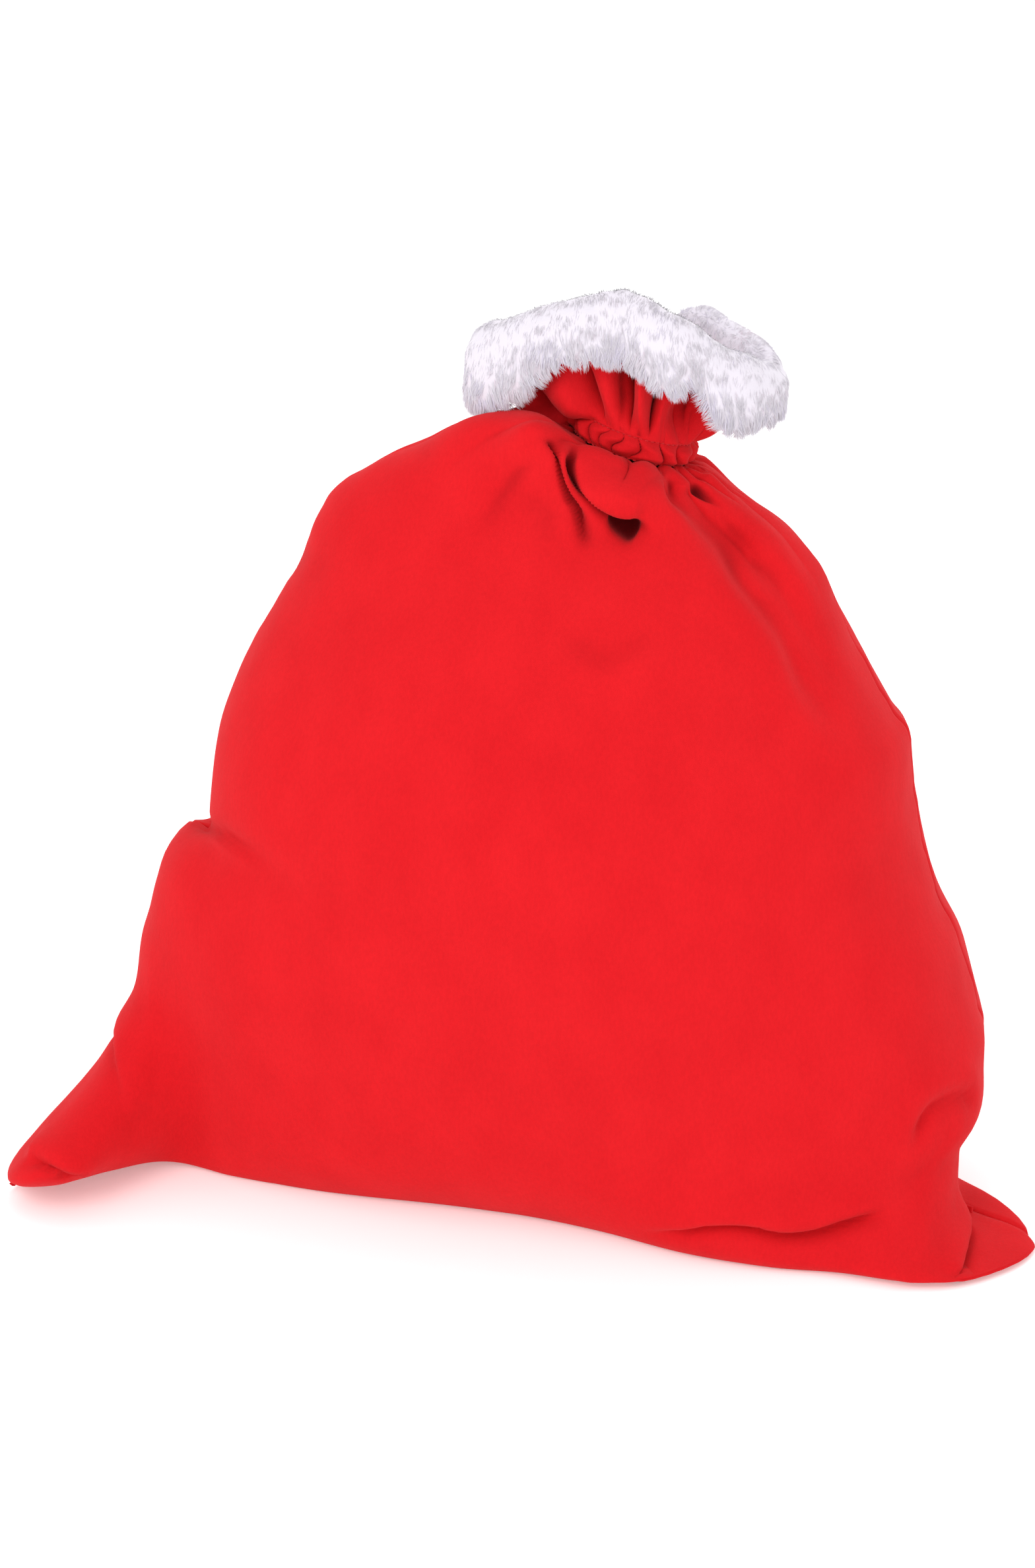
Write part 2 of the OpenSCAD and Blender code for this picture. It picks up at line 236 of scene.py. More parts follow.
def body_wall(mid, edge_left, edge_right, section, side):
    """Rows of a cloth between its side seams, bulging to the middle line."""
    power = np.abs(np.sin(np.pi / 2 * side)) ** section[:, :1]
    depth = np.abs(np.cos(np.pi / 2 * side)) ** section[:, :1]
    edge = np.where((side < 0)[..., None], edge_left[:, None], edge_right[:, None])
    mid = mid[:, None]
    x = mid[..., 0] + (edge[..., 0] - mid[..., 0]) * power
    y = edge[..., 1] + (mid[..., 1] - edge[..., 1]) * depth
    z = mid[..., 2] + (edge[..., 2] - mid[..., 2]) * power ** section[:, 1:]
    return np.stack([x, y, z], axis=-1)


def body_base():
    """The filled body's plain shape, then the rows that follow the neck's ring."""
    u = np.concatenate([np.linspace(a, b, n, endpoint=False) for a, b, n in ROWS] + [[TOP]])
    left, right, section = spline(LEFT, u), spline(RIGHT, u), spline(SECTION, u)
    side = S[None, :].repeat(len(u), axis=0)
    front = body_wall(spline(FRONT, u), left, right, section, side)
    back = body_wall(spline(BACK, u), left, right, section, side)
    foot = spline(FOOT, S)
    share = spline(FOOT_SHARE, np.minimum(u, 6))[:, :1]
    front[..., :2] += share[..., None] * foot[None]
    grid = np.concatenate([front[:, :-1], back[:, ::-1][:, :-1]], axis=1)
    grid[..., 2] = np.maximum(grid[..., 2], 0)
    top = leaning(RING, ring_radius(RING, LOWER_ROW), LOWER_ROW) - grid[-1]
    return grid + top[None] * ramp(u, 11.3, 12)[:, None, None], u


def push(grid, where, reach, by, only=None):
    """Moves the cloth round a point by a vector, less and less over the reach each way."""
    share = np.exp(-(((grid - np.array(where)) / np.array(reach)) ** 2).sum(axis=-1))
    if only is not None:
        share = share * only
    return grid + share[..., None] * np.array(by, float)


def crease(grid, normal, path, depth, width, over=0.0, reach=12.0, lap=0.0, side=(0, 0, 1),
           fade=(0.3, 0.3), weights=(1, 0.3, 1)):
    """A line sunk into the cloth along a path. The cloth on the given side bulges, and laps over
    the line. Depth and width may be lists, read along the path."""
    path = np.array(path, float)
    if path[:, 1].min() > 0:               # behind, a path is only rough and is laid on the cloth
        cloth = grid.reshape(-1, 3)
        path = np.array([cloth[((cloth - p) ** 2).sum(axis=1).argmin()] for p in path])
    at = np.linspace(0, len(path) - 1, 12 * len(path))
    line = spline(np.column_stack([np.arange(len(path)), path]), at)
    w = np.array(weights, float)
    far = (4 * np.max(width) + 2.5 * reach) / np.maximum(w, 0.2)
    near = np.all((grid > line.min(axis=0) - far) & (grid < line.max(axis=0) + far), axis=-1)
    points, out = grid[near], normal[near]
    best = np.full(len(points), 1e9)
    place, offset = np.zeros(len(points)), np.zeros((len(points), 3))
    for i in range(len(line) - 1):
        a, d = line[i], line[i + 1] - line[i]
        t = np.clip(((points - a) * w * w * d).sum(axis=1) / max((w * w * d * d).sum(), 1e-9), 0, 1)
        v = points - a - t[:, None] * d
        r = np.sqrt((w * w * v * v).sum(axis=1))
        closer = r < best
        best[closer], offset[closer] = r[closer], v[closer]
        place[closer] = (i + t[closer]) / (len(line) - 1)
    depth, width, lap = (np.interp(place, np.linspace(0, 1, np.size(v)), np.atleast_1d(v))
                         for v in (depth, width, lap))
    ends = ramp(place, 0, fade[0]) * (1 - ramp(place, 1 - fade[1], 1))
    side = np.array(side, float)
    above = ramp((offset * side).sum(axis=1), -width * 0.4, width * 0.8)
    beside = np.exp(-((np.maximum(best - width, 0) / reach) ** 2))
    sunk = depth * np.exp(-((best / width) ** 2)) * (1 - 0.6 * above * (over > 0))
    value = -sunk + over * above * beside
    level = unit(side - (out * side).sum(axis=1)[:, None] * out)
    move = np.zeros(grid.shape)
    move[near] = (value * ends)[:, None] * out - (lap * above * beside * ends)[:, None] * level
    return move


def with_swells(grid, u, front):
    """The lobe, the puff and the hollows round the neck, the swollen side, and broad lumps."""
    # the shoulder's lobe stands up left of the neck and folds over in front of the gathers
    grid = push(grid, (-26, -50, 528), (44, 32, 26), (0, -10, 17), front)
    grid = push(grid, (12, -58, 534), (20, 22, 22), (3, -14, 15), front)
    # the puff that hangs below the gathers, the hollow to its right and the hole below it
    grid = push(grid, (76, -66, 510), (30, 24, 15), (2, -16, 2), front)
    grid = push(grid, (140, -56, 480), (18, 30, 22), (0, 6, -5), front)
    grid = push(grid, (80, -84, 486), (10, 30, 6.5), (0, 13, 3), front)
    # the lower left side swells out below a notch
    grid = push(grid, (-240, -40, 216), (44, 80, 28), (-4, -5, 9))
    # the filled sack is uneven: a few broad swells and dents
    lumps = Noise(3)
    wall = ramp(grid[..., 2], 12, 120) * (1 - ramp(u, 10.4, 11.6)[:, None])
    lump = 5.0 * lumps(grid / 150 + 7) + 2.0 * lumps(grid / 62 + 3)
    return grid + normals(grid) * (wall * lump)[..., None]


def with_gathered_folds(grid, u):
    """Folds that run down from the gathers and die out, and a fine unevenness all over."""
    normal = evened(normals(grid), 2)
    step = np.linalg.norm(np.diff(grid, axis=0), axis=-1)
    down = np.concatenate([np.cumsum(step[::-1], axis=0)[::-1], np.zeros((1, grid.shape[1]))])
    ring = RING[None] + 3.0 * np.sin(down / 31 + np.radians(RING[None]) * 3) * ramp(down, 0, 60)
    fold = 3.0 * (gathers(RING[None]) - 0.75) * ramp(-down, -20, 0)
    fold += 7.2 * (folds_near(ring) - 0.6) * bell(down, 19, 18) * ramp(down, 0, 7)
    fold += 3.0 * (folds_far(ring + 8) - 0.5) * bell(down, 70, 48) * ramp(down, 4, 30)
    fine = Noise(17)
    below_ring = (1 - ramp(u, 11.6, TOP))[:, None]
    fold = fold + 0.5 * fine(grid / 21) * ramp(grid[..., 2], 4, 30) * below_ring
    return grid + normal * fold[..., None]


def with_creases(grid, u, front):
    for where, line, manner in CREASES:
        normal = evened(normals(grid), 2)
        mask = {"front": front, "back": 1 - front, "all": 1.0}[where]
        mask = mask * (1 - ramp(u, 11.8, TOP))[:, None]
        grid = grid + crease(grid, normal, *line, **manner) * np.expand_dims(mask, -1)
    return grid


def with_side_seams(grid, u):
    """The side seams draw the cloth in, with small puckers along them."""
    normal = evened(normals(grid), 2)
    tight = Noise(9)
    apart = np.minimum(np.abs(RING - LEFT_SEAM), 360 - np.abs(RING - LEFT_SEAM))
    apart = np.minimum(apart, np.abs(RING - RIGHT_SEAM))
    on_right = (np.cos(np.radians(RING - RIGHT_SEAM)) > 0)[None, :, None]
    nearest = np.where(on_right, grid[:, ACROSS][:, None], grid[:, 0][:, None])
    beside = np.linalg.norm(grid - nearest, axis=-1)
    seam = (apart < 30)[None] * (1 - ramp(u, 11, TOP))[:, None]
    fold = -seam * (1.5 * np.exp(-((beside / 2.6) ** 2)))
    pucker = tight(np.stack([beside / 30, grid[..., 2] / 9, grid[..., 0] * 0], -1))
    fold = fold + seam * 1.1 * pucker * np.exp(-((beside / 16) ** 2)) * ramp(beside, 0, 5)
    return grid + normal * fold[..., None]


def body_shape():
    """The filled body's outer side, in rows up from the bottom seam and columns round it."""
    grid, u = body_base()
    front = IS_FRONT[None].astype(float)
    below_neck = 1 - ramp(u, 11.7, TOP)[:, None]
    grid = with_swells(grid, u, front * below_neck)
    grid = with_gathered_folds(grid, u)
    grid = with_creases(grid, u, front)
    grid = with_side_seams(grid, u)
    grid[..., 2] = np.maximum(grid[..., 2], 0)
    return grid


# each crease: which cloth; its path, depth and width; and the rest of crease()'s values
CREASES = [
    # the rounded pleat below the gathers' left end, with a crease on each side of it
    ("front", ([(30, -62, 540), (36, -68, 520), (43, -69, 509), (51, -72, 500), (61, -80, 484)],
               -7.5, 5.5), dict(fade=(0.1, 0.5))),
    ("front", ([(24, -66, 545), (29, -69, 522), (35, -72, 509), (41, -73, 502), (48, -79, 486),
                (53, -87, 470)], (10, 14, 14, 10, 4), (3.5, 3.4, 3.4, 3.4, 4)),
     dict(over=4.5, reach=12, lap=(6, 6, 5, 2, 0), side=(-1, 0, 0.15), fade=(0.1, 0.4))),
    ("front", ([(38, -58, 538), (43, -66, 524), (49, -66, 514), (57, -68, 507), (66, -73, 499),
                (76, -77, 492), (86, -81, 489)], (9, 14, 16, 19, 21), (3, 3.4, 3.8, 5.5, 8)),
     dict(over=5, reach=13, lap=(6, 6, 6, 4, 1), side=(0.6, 0, 1), fade=(0.12, 0.12))),
    # creases from the gathers down to the bump on the right
    ("front", ([(98, -46, 520), (104, -54, 509), (114, -56, 500), (130, -62, 486), (150, -64, 458),
                (178, -74, 425), (196, -80, 390), (220, -76, 362), (246, -57, 346)],
               (9, 9, 7, 5, 3), (4, 6, 9, 10)),
     dict(over=3.6, reach=14, side=(-1, 0, 0.2), fade=(0.08, 0.3))),
    ("front", ([(112, -36, 512), (122, -45, 501), (134, -50, 488), (152, -48, 473), (178, -50, 452),
                (206, -58, 405), (236, -56, 362)], (6, 9, 8, 5, 3), (6, 9, 11, 12)),
     dict(over=3.6, reach=14, side=(1, 0, 1), fade=(0.08, 0.35))),
    # the smile-shaped crease in the upper middle of the front
    ("front", ([(34, -111, 431), (56, -119, 416), (74, -120, 411), (94, -114, 418),
                (110, -105, 429)], 2.0, 8), dict(over=2.2, reach=16, side=(0, 0, -1))),
    # the notch in the left outline, and the shallow crease that runs in from it
    ("all", ([(-250, 40, 234), (-240, -10, 242), (-226, -60, 252), (-199, -94, 260),
              (-166, -122, 256), (-130, -138, 240)], (9, 10, 8, 4, 2), (7, 7, 9, 12)),
     dict(over=5, reach=20, lap=4, side=(-0.3, 0, -1), fade=(0.2, 0.4), weights=(1, 0.6, 1))),
    # the fold that hangs over the bottom on the right
    ("front", ([(98, -128, 14), (130, -138, 25), (153, -142, 33), (177, -143, 35), (199, -141, 31),
                (222, -137, 33), (242, -132, 40), (258, -127, 44), (280, -116, 42)],
               (3, 8, 11, 12, 10, 6), 7),
     dict(over=6, reach=15, lap=5, side=(0, 0, 1), fade=(0.2, 0.2))),
    # the curved crease above the right corner, and the upright fold in front of the corner
    ("front", ([(322, -50, 98), (308, -76, 110), (294, -96, 109), (285, -106, 96), (284, -108, 80)],
               (5, 6, 6, 4), 7),
     dict(over=3, reach=13, side=(-1, 0, 0.6), fade=(0.15, 0.3), weights=(1, 0.8, 1))),
    ("front", ([(318, -52, 26), (321, -76, 16), (320, -100, 12), (319, -124, 10), (316, -142, 4)],
               (6, 10, 10, 7), 5),
     dict(over=5, reach=11, lap=5, side=(-1, -0.3, 0.2), fade=(0.15, 0.1), weights=(1, 0.8, 1))),
    # the body's edge above the left corner, and the crease across the corner itself
    ("front", ([(-304, -20, 104), (-284, -78, 98), (-268, -104, 78), (-262, -112, 52)],
               (5, 6, 5, 3), 7),
     dict(over=4, reach=14, lap=3, side=(1, 0, 0.7), fade=(0.2, 0.3), weights=(1, 0.7, 1))),
    ("front", ([(-323, -166, 42), (-314, -169, 46), (-304, -172, 46), (-293, -171, 39),
                (-285, -168, 29), (-278, -162, 16)], (6, 9, 8, 5), 4.5),
     dict(over=4, reach=10, lap=4, side=(0.5, 0, 1), fade=(0.15, 0.25), weights=(1, 0.5, 1))),
    # behind: three creases down from the gathers, a shallow dent, and folds over the bottom
    ("back", ([(40, 52, 512), (20, 70, 490), (-14, 92, 455), (-56, 110, 410), (-84, 122, 360)],
              (9, 9, 6, 3), (4, 8, 11)),
     dict(over=4, reach=16, side=(-1, 0, 0.5), fade=(0.08, 0.4))),
    ("back", ([(96, 46, 508), (114, 62, 486), (138, 80, 452), (164, 95, 405)],
              (9, 9, 6, 3), (4, 8, 11)),
     dict(over=4, reach=16, side=(1, 0, 0.5), fade=(0.08, 0.4))),
    ("back", ([(70, 50, 514), (66, 66, 494), (72, 84, 462), (88, 98, 425)], (8, 7, 4), (4, 7, 9)),
     dict(over=3, reach=12, lap=2, side=(1, 0, 0.3), fade=(0.08, 0.5))),
    ("back", ([(-140, 130, 262), (-92, 145, 240), (-30, 154, 238), (24, 152, 258)], 3, 10),
     dict(over=2.6, reach=20, side=(0, 0, -1))),
    ("back", ([(-216, 110, 36), (-170, 120, 24), (-112, 130, 26), (-52, 130, 38)], (3, 9, 9, 4), 7),
     dict(over=6, reach=16, lap=4, side=(0, 0, 1), fade=(0.25, 0.25))),
    ("back", ([(306, 40, 96), (284, 84, 82), (262, 104, 56), (250, 112, 30)], (5, 7, 6, 3), 7),
     dict(over=4.5, reach=14, lap=3, side=(-1, 0, 0.7), fade=(0.2, 0.3))),
    ("back", ([(120, 135, 60), (160, 130, 44), (205, 122, 36), (240, 110, 44)], (3, 6, 6, 3), 8),
     dict(over=4, reach=15, lap=2, side=(0, 0, 1), fade=(0.25, 0.3))),
]

# ---- meshes -------------------------------------------------------------------------------


def mesh(name, points, faces, material, which=None, shading=None, groove_shade=None):
    """A smooth mesh from points and quads or triangles; which picks a material for each face,
    shading gives the points' own normals and the groove values each point's painted shade,
    by how deep it lies between folds."""
    data = bpy.data.meshes.new(name)
    faces = np.asarray(faces)
    data.vertices.add(len(points))
    data.vertices.foreach_set("co", (np.asarray(points) * MM).astype(np.float32).ravel())
    flat = faces.ravel()
    data.loops.add(len(flat))
    data.loops.foreach_set("vertex_index", flat.astype(np.int32))
    data.polygons.add(len(faces))
    data.polygons.foreach_set("loop_start", np.arange(0, len(flat), faces.shape[1], dtype=np.int32))
    data.polygons.foreach_set("use_smooth", np.ones(len(faces), bool))
    for one in (material if isinstance(material, list) else [material]):
        data.materials.append(one)
    if which is not None:
        data.polygons.foreach_set("material_index", np.asarray(which, np.int32))
    # painted shade: how dark each point is painted in the grooves, kept as a point attribute
    if groove_shade is not None:
        attribute = data.attributes.new("groove_shade", "FLOAT", "POINT")
        attribute.data.foreach_set("value", np.asarray(groove_shade, np.float32))
    data.update(calc_edges=True)
    data.validate()
    if shading is not None:
        data.normals_split_custom_set_from_vertices(np.asarray(shading, float).tolist())
    piece = bpy.data.objects.new(name, data)
    bpy.context.scene.collection.objects.link(piece)
    return piece


def shell(outer, inner):
    """Points and quads of a closed sheet between two grids of rows and columns."""
    rows, cols = outer.shape[:2]
    n = rows * cols
    ids = np.arange(n).reshape(rows, cols)

    def quads(a, b, c, d):
        return np.stack([a.ravel(), b.ravel(), c.ravel(), d.ravel()], axis=1)

    faces = [
        quads(ids[:-1, :-1], ids[:-1, 1:], ids[1:, 1:], ids[1:, :-1]),
        quads(ids[:-1, :-1] + n, ids[1:, :-1] + n, ids[1:, 1:] + n, ids[:-1, 1:] + n),
        quads(ids[:-1, 0], ids[1:, 0], ids[1:, 0] + n, ids[:-1, 0] + n),
        quads(ids[:-1, -1], ids[:-1, -1] + n, ids[1:, -1] + n, ids[1:, -1]),
        quads(ids[0, :-1], ids[0, :-1] + n, ids[0, 1:] + n, ids[0, 1:]),
        quads(ids[-1, :-1], ids[-1, 1:], ids[-1, 1:] + n, ids[-1, :-1] + n)]
    return np.concatenate([outer.reshape(-1, 3), inner.reshape(-1, 3)]), np.concatenate(faces)


def halves(ring_grid):
    """The front and the back columns of a grid that runs all the way round."""
    closed = np.concatenate([ring_grid, ring_grid[:, :1]], axis=1)
    return closed[:, :ACROSS + 1], closed[:, ACROSS:]


def painted_groove_shade(grid, times, gain):
    """How much painted shade each point gets, from 0 to 1, by how far it lies in a groove between
    folds: its depth in millimetres below the evened cloth, past a least depth, times the gain."""
    least = 0.06
    depth = ((evened(grid, times) - grid) * normals(grid)).sum(axis=-1)
    depth[[0, -1]] = depth[[1, -2]]
    return np.clip(gain * (depth - least), 0, 1)


def inside(grid, thickness):
    """The cloth's inner side; where front and back lie together it thins, so they don't cross."""
    normal = evened(normals(grid), 1)
    back = grid[:, (-np.arange(grid.shape[1])) % grid.shape[1]]
    room = np.linalg.norm(grid - back, axis=-1)
    thick = np.minimum(thickness, 0.3 * room)
    for seam in (0, ACROSS):
        thick[:, seam] = (thick[:, (seam + 1) % thick.shape[1]] + thick[:, seam - 1]) / 2
    thick[0] = thick[1]
    return grid - normal * np.maximum(thick, 0.15)[..., None]


# ---- materials -----------------------------------------------------------------------------


def shader(name, roughness, sheen=0.0, sheen_roughness=0.4, sheen_tint=(1, 1, 1), specular=0.3):
    material = bpy.data.materials.new(name)
    material.use_nodes = True
    tree = material.node_tree
    surface = tree.nodes["Principled BSDF"]
    surface.inputs["Roughness"].default_value = roughness
    surface.inputs["Sheen Weight"].default_value = sheen
    surface.inputs["Sheen Roughness"].default_value = sheen_roughness
    surface.inputs["Sheen Tint"].default_value = (*sheen_tint, 1)
    surface.inputs["Specular IOR Level"].default_value = specular
    return material, tree, surface


def noise_node(tree, place, scale, detail, stretch=None):
    node = tree.nodes.new("ShaderNodeTexNoise")
    node.inputs["Scale"].default_value = scale
    node.inputs["Detail"].default_value = detail
    source = place.outputs["Object"]
    if stretch:
        mapping = tree.nodes.new("ShaderNodeMapping")
        mapping.inputs["Scale"].default_value = stretch
        tree.links.new(source, mapping.inputs["Vector"])
        source = mapping.outputs["Vector"]
    tree.links.new(source, node.inputs["Vector"])
    return node


def ramp_node(tree, source, low, high):
    """Blends between two colours, each given with the value that it stands at."""
    node = tree.nodes.new("ShaderNodeValToRGB")
    for element, (position, colour) in zip(node.color_ramp.elements, (low, high)):
        element.position, element.color = position, (*colour, 1)
    tree.links.new(source, node.inputs["Fac"])
    return node


def bumps(tree, surface, layers):
    """Bump nodes in a chain. Each layer: a height output, its strength and its depth in metres."""
    last = None
    for height, strength, depth in layers:
        node = tree.nodes.new("ShaderNodeBump")
        node.inputs["Strength"].default_value = strength
        node.inputs["Distance"].default_value = depth
        tree.links.new(height, node.inputs["Height"])
        if last:
            tree.links.new(last.outputs["Normal"], node.inputs["Normal"])
        last = node
    tree.links.new(last.outputs["Normal"], surface.inputs["Normal"])


def velour_material(name, light, dark, shade):
    """Cut velour: patches brushed dark and light, a fine grain, and painted shade in the grooves.
    """
    material, tree, surface = shader(name, 0.92, 0.12, 0.5, (1.0, 0.3, 0.31), 0.10)
    place = tree.nodes.new("ShaderNodeTexCoord")
    nap = noise_node(tree, place, 30, 6, (1, 1, 0.7))
    grain = noise_node(tree, place, 520, 3, (1, 1, 0.45))
    pile = noise_node(tree, place, 1500, 3)
    brush = noise_node(tree, place, 230, 4, (1, 1, 0.35))
    patches = ramp_node(tree, nap.outputs["Fac"], (0.3, dark), (0.7, light))
    speck = ramp_node(tree, grain.outputs["Fac"], (0.35, (0.94, 0.94, 0.94)), (0.65, (1, 1, 1)))

    grained = tree.nodes.new("ShaderNodeMix")
    grained.data_type, grained.blend_type = "RGBA", "MULTIPLY"
    grained.inputs["Factor"].default_value = 1.0
    tree.links.new(patches.outputs["Color"], grained.inputs["A"])
    tree.links.new(speck.outputs["Color"], grained.inputs["B"])

    # painted shade: the groove attribute mixes the colour towards the shade colour in the grooves
    groove_shade = tree.nodes.new("ShaderNodeAttribute")
    groove_shade.attribute_name = "groove_shade"
    groove_shaded = tree.nodes.new("ShaderNodeMix")
    groove_shaded.data_type = "RGBA"
    groove_shaded.inputs["B"].default_value = (*shade, 1)
    tree.links.new(groove_shade.outputs["Fac"], groove_shaded.inputs["Factor"])
    tree.links.new(grained.outputs["Result"], groove_shaded.inputs["A"])
    tree.links.new(groove_shaded.outputs["Result"], surface.inputs["Base Color"])
    bumps(tree, surface, [(pile.outputs["Fac"], 0.35, 0.0006), (brush.outputs["Fac"], 0.2, 0.001)])
    return material


def plush_material(name, colour):
    """White pile. A faint glow stands for the light that passes from fibre to fibre."""
    material, tree, surface = shader(name, 0.7, 0.3, 0.5, (1, 1, 1), 0.2)
    surface.inputs["Base Color"].default_value = (*colour, 1)
    surface.inputs["Emission Color"].default_value = (*colour, 1)
    surface.inputs["Emission Strength"].default_value = 0.31
    return material


def woven_material(name, colour, scale):
    material, tree, surface = shader(name, 0.8, 0.1, 0.5)
    surface.inputs["Base Color"].default_value = (*colour, 1)
    place = tree.nodes.new("ShaderNodeTexCoord")
    wave = tree.nodes.new("ShaderNodeTexWave")
    wave.inputs["Scale"].default_value = scale
    tree.links.new(place.outputs["Object"], wave.inputs["Vector"])
    bumps(tree, surface, [(wave.outputs["Fac"], 0.4, 0.0006)])
    return material


VELOUR = velour_material("red_velour", light=(0.655, 0.0093, 0.014), dark=(0.61, 0.0075, 0.012),
                         shade=(0.10, 0.001, 0.002))
PLUSH = plush_material("plush_backing", (0.57, 0.535, 0.59))
FUR = [plush_material("plush_white", (0.57, 0.535, 0.585)),
       plush_material("plush_lavender", (0.54, 0.50, 0.59)),
       plush_material("plush_blush", (0.58, 0.51, 0.57))]
THREAD = woven_material("red_thread", (0.62, 0.008, 0.013), 900)
ELASTIC = woven_material("elastic", (0.82, 0.80, 0.77), 600)

# ---- body, band and seam allowances ---------------------------------------------------------

SIDES = (("front", "front_lip", -1), ("back", "back_lip", 1))   # name, body, and way along y


def cloth_halves(name, outer, inner, groove_shading):
    """The front and the back half of a velour cloth that runs all the way round, each point
    with its painted shade in the grooves.
    """
    for (side, lip, sign), *half in zip(SIDES, halves(outer), halves(inner), halves(groove_shading)):
        piece = mesh(f"{side}_{name}", *shell(half[0], half[1]), VELOUR,
                     groove_shade=np.tile(half[2].ravel(), 2))
        yield side, lip, sign, piece


def bend_at_lip(piece, lip, sign):
    """A piece of the mouth has its placement baked into its points."""
    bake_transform(piece)


body = body_shape()
body_inner = inside(body, CLOTH)
# painted shade in the body's grooves: full near the neck, faint further down
near_neck = 0.12 + 0.88 * ramp(body[..., 2], 400, 482)          # where the grooves show fully
body_groove_shade = evened(painted_groove_shade(body, 8, 0.65), 2) * near_neck
cloths, bands, ruffles = {}, {}, {}
for side, _, _, piece in cloth_halves("cloth", body, body_inner, body_groove_shade):
    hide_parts(f"{side}_panel")
    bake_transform(piece)
    cloths[side] = piece

BAND_ROWS = 25
heights = np.linspace(LOWER_ROW, UPPER_ROW, BAND_ROWS)[:, None]
angles = RING[None] + 0 * heights
band = leaning(angles, ring_radius(angles, heights), heights)
band_inner = leaning(angles, TAPE_SIDE_R, heights)
# the gathered band gets painted shade in its grooves
for side, _, _, piece in cloth_halves("gathers", band, band_inner, painted_groove_shade(band, 4, 1.2)):
    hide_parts(f"casing_{side}")
    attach(piece, "neck")
    bands[side] = piece

# the tape's upper edge is folded out to the gathered cloth, which hides the elastic from above
FOLD_SECTION = [          # radius and height
    (31.2, 19.4), (33.4, 20.4), (36.4, 20.2), (39.4, 19.2), (39.4, 18.4), (31.2, 19.1)]
loops = np.stack([leaning(RING, r + 0.5 * gathers(RING), h) for r, h in FOLD_SECTION])
ids = np.arange(loops.shape[0] * loops.shape[1]).reshape(loops.shape[:2])
up, over = np.roll(ids, -1, axis=0), np.roll(ids, -1, axis=1)
faces = np.stack([ids.ravel(), up.ravel(), np.roll(up, -1, axis=1).ravel(), over.ravel()], axis=1)
piece = mesh("channel_top_fold", loops.reshape(-1, 3), faces, VELOUR)
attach(piece, "neck")


def walls(ids):
    """Quads between rings of points, from the points' numbers, one ring to a row."""
    nxt = np.roll(ids, -1, axis=1)
    return np.stack([ids[:-1].ravel(), nxt[:-1].ravel(), nxt[1:].ravel(), ids[1:].ravel()], axis=1)


def tube(line, radius):
    """Six-sided rings of points round a line, drawn in at its ends, and the quads between and
    across them."""
    sides = 6
    line = np.asarray(line, float)
    along = unit(np.gradient(line, axis=0))
    steep = np.abs(along[:, 2:]) > 0.9
    across = unit(np.cross(along, np.where(steep, [[1.0, 0, 0]], [[0, 0, 1.0]])))
    other = np.cross(along, across)
    taper = np.ones(len(line))
    taper[[0, -1]] = 0.35
    turn = np.linspace(0, 2 * np.pi, sides, endpoint=False)[None, :, None]
    circle = across[:, None] * np.cos(turn) + other[:, None] * np.sin(turn)
    rings = line[:, None] + radius * taper[:, None, None] * circle
    ids = np.arange(len(line) * sides).reshape(len(line), sides)
    first, last = ids[0], ids[-1]
    caps = [[first[3], first[2], first[1], first[0]], [first[5], first[4], first[3], first[0]],
            [last[0], last[1], last[2], last[3]], [last[0], last[3], last[4], last[5]]]
    return rings.reshape(-1, 3), np.concatenate([walls(ids), caps])


def joined(parts):
    """The points and faces of several parts as one."""
    points, faces, count = [], [], 0
    for p, f in parts:
        points.append(p)
        faces.append(f + count)
        count += len(p)
    return np.concatenate(points), np.concatenate(faces)


def stitches(name, place, count, radius, node):
    """A row of sewn stitches: short threads that dive into the cloth at both ends. place gives
    points from the share of the row and the lift above the cloth."""
    reach, points = 0.62, 7       # a stitch's share of its step, and its points
    parts = []
    for k in range(count):
        t = (k + 0.5 + reach * np.linspace(-0.5, 0.5, points)) / count
        parts.append(tube(place(t, np.sin(np.linspace(0, np.pi, points))), radius))
    piece = mesh(name, *joined(parts), THREAD)
    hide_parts(node)
    return piece


GATHER_STITCHES, GATHER_THREAD_R = 64, 0.42
for name, height in (("upper", UPPER_ROW), ("lower", LOWER_ROW)):
    def row(t, lift, height=height):
        angle = LEFT_SEAM + 360 * t
        return leaning(angle, ring_radius(angle, height) + 0.7 * lift - 0.45, height)
    piece = stitches(f"{name}_gather_stitches", row, GATHER_STITCHES, GATHER_THREAD_R,
                     f"{name}_stitch_row")
    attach(piece, "neck")


SEAM_WIDTH, SEAM_THICK = 9, 2.4


def strip(line, inward):
    """A seam allowance: a flat strip along a line, standing inwards from it."""
    line, inward = np.asarray(line, float), unit(np.asarray(inward, float))
    along = unit(np.gradient(line, axis=0))
    flat = unit(np.cross(along, inward)) * SEAM_THICK / 2
    tip = line + inward * SEAM_WIDTH
    loops = np.stack([line + flat, tip + flat, tip - flat, line - flat], axis=1)
    ids = np.arange(4 * len(line)).reshape(-1, 4)
    return loops.reshape(-1, 3), np.concatenate([walls(ids), [ids[0][::-1], ids[-1]]])


side_rows = slice(46, 118)                       # the straight middle stretch of the side seams
foot_columns = slice(40, ACROSS - 40, 4)
for name, column in (("left", 0), ("right", ACROSS)):
    line = body_inner[side_rows, column]
    inward = -normals(body_inner)[side_rows, column]
    piece = mesh(f"{name}_seam_edge", *strip(line + inward * 0.6, inward), VELOUR)
    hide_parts(f"{name}_seam_allowance")
    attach(piece, "sack")
line = body_inner[0, foot_columns] + [0, 0, 0.8]
piece = mesh("bottom_seam_edge", *strip(line, np.tile([0, 0, 1.0], (len(line), 1))), VELOUR)
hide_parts("bottom_seam_allowance")
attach(piece, "sack")

# ---- ruffle --------------------------------------------------------------------------------

